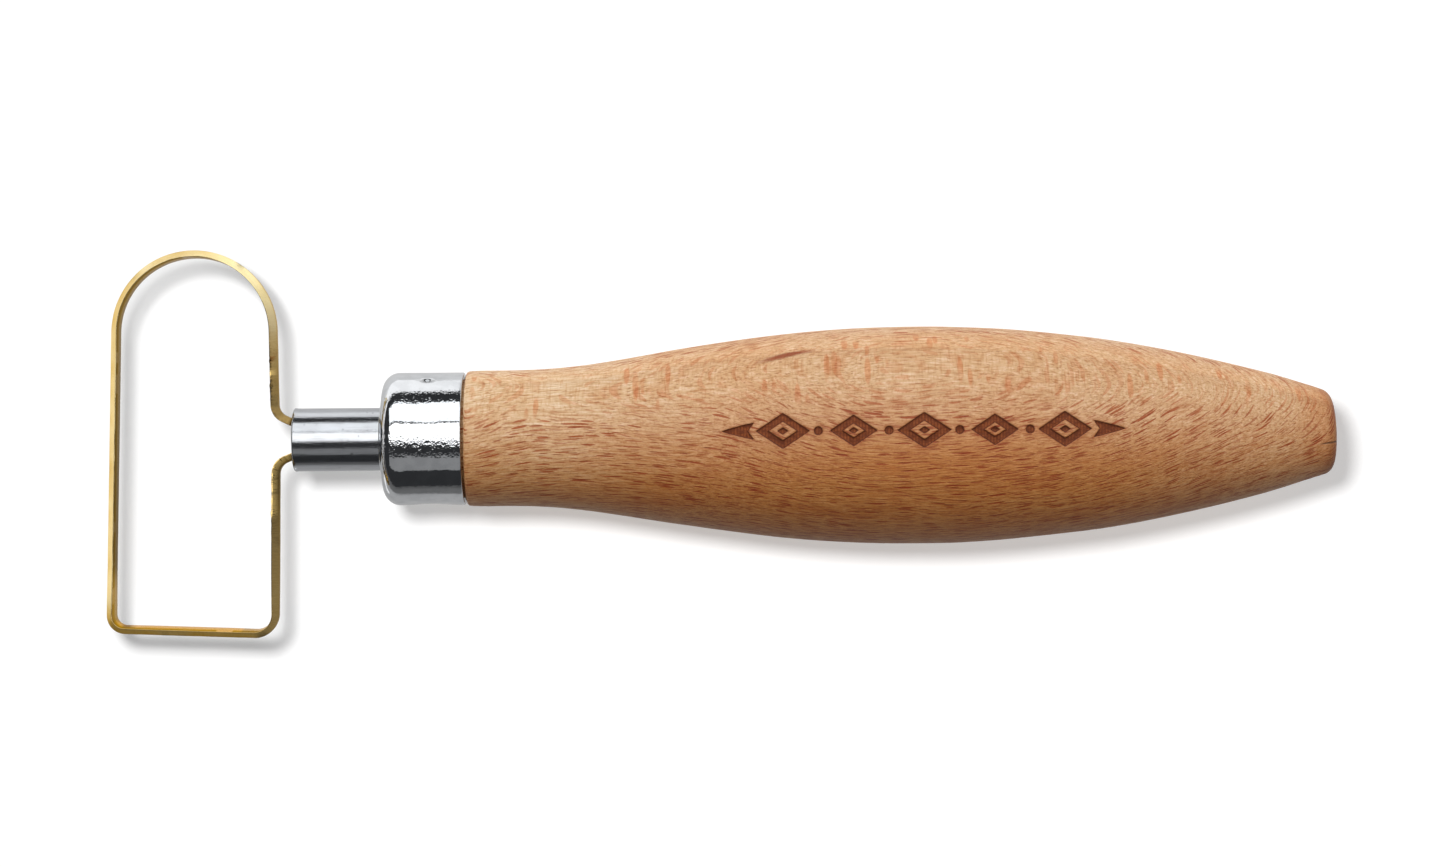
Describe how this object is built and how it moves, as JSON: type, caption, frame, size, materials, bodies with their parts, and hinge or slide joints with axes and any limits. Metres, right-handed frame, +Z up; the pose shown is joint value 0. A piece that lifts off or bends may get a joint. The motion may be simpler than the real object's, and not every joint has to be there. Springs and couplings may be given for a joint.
{
  "type": "clay modeling tool",
  "caption": "Clay trimming tool: a turned wooden spindle grip, metal ferrule and short stem holding a flat strip bent into a cutting loop, arched on one side and square on the other.",
  "frame": {"origin": "centre of the base of the bounding box; the tool lies on the belly of its grip, with the grip's axis 16.4 mm above the base", "axes": "+X along the grip's axis from the cutting loop to the butt, +Y across the loop towards its round arch, +Z up, square to the loop's plane"},
  "size_m": [0.1858, 0.0588, 0.0329],
  "materials": {
    "beech": "turned beech with short ray flecks, sanded and lightly oiled",
    "chrome_plate": "bright chrome plate on a drawn cup, slightly pebbled",
    "stem_steel": "turned bright steel tube",
    "gold_coating": "gold-coloured hard coating on ground spring steel",
    "cast_resin": "cast resin, slightly domed",
    "cured_adhesive": "cured glue"
  },
  "bodies": {
    "root": {"handle": "beech", "ferrule": "chrome_plate", "stem_tube": "stem_steel", "ribbon_loop": "gold_coating", "resin_plug": "cast_resin", "adhesive_slug": "cured_adhesive"}
  },
  "joints": []
}
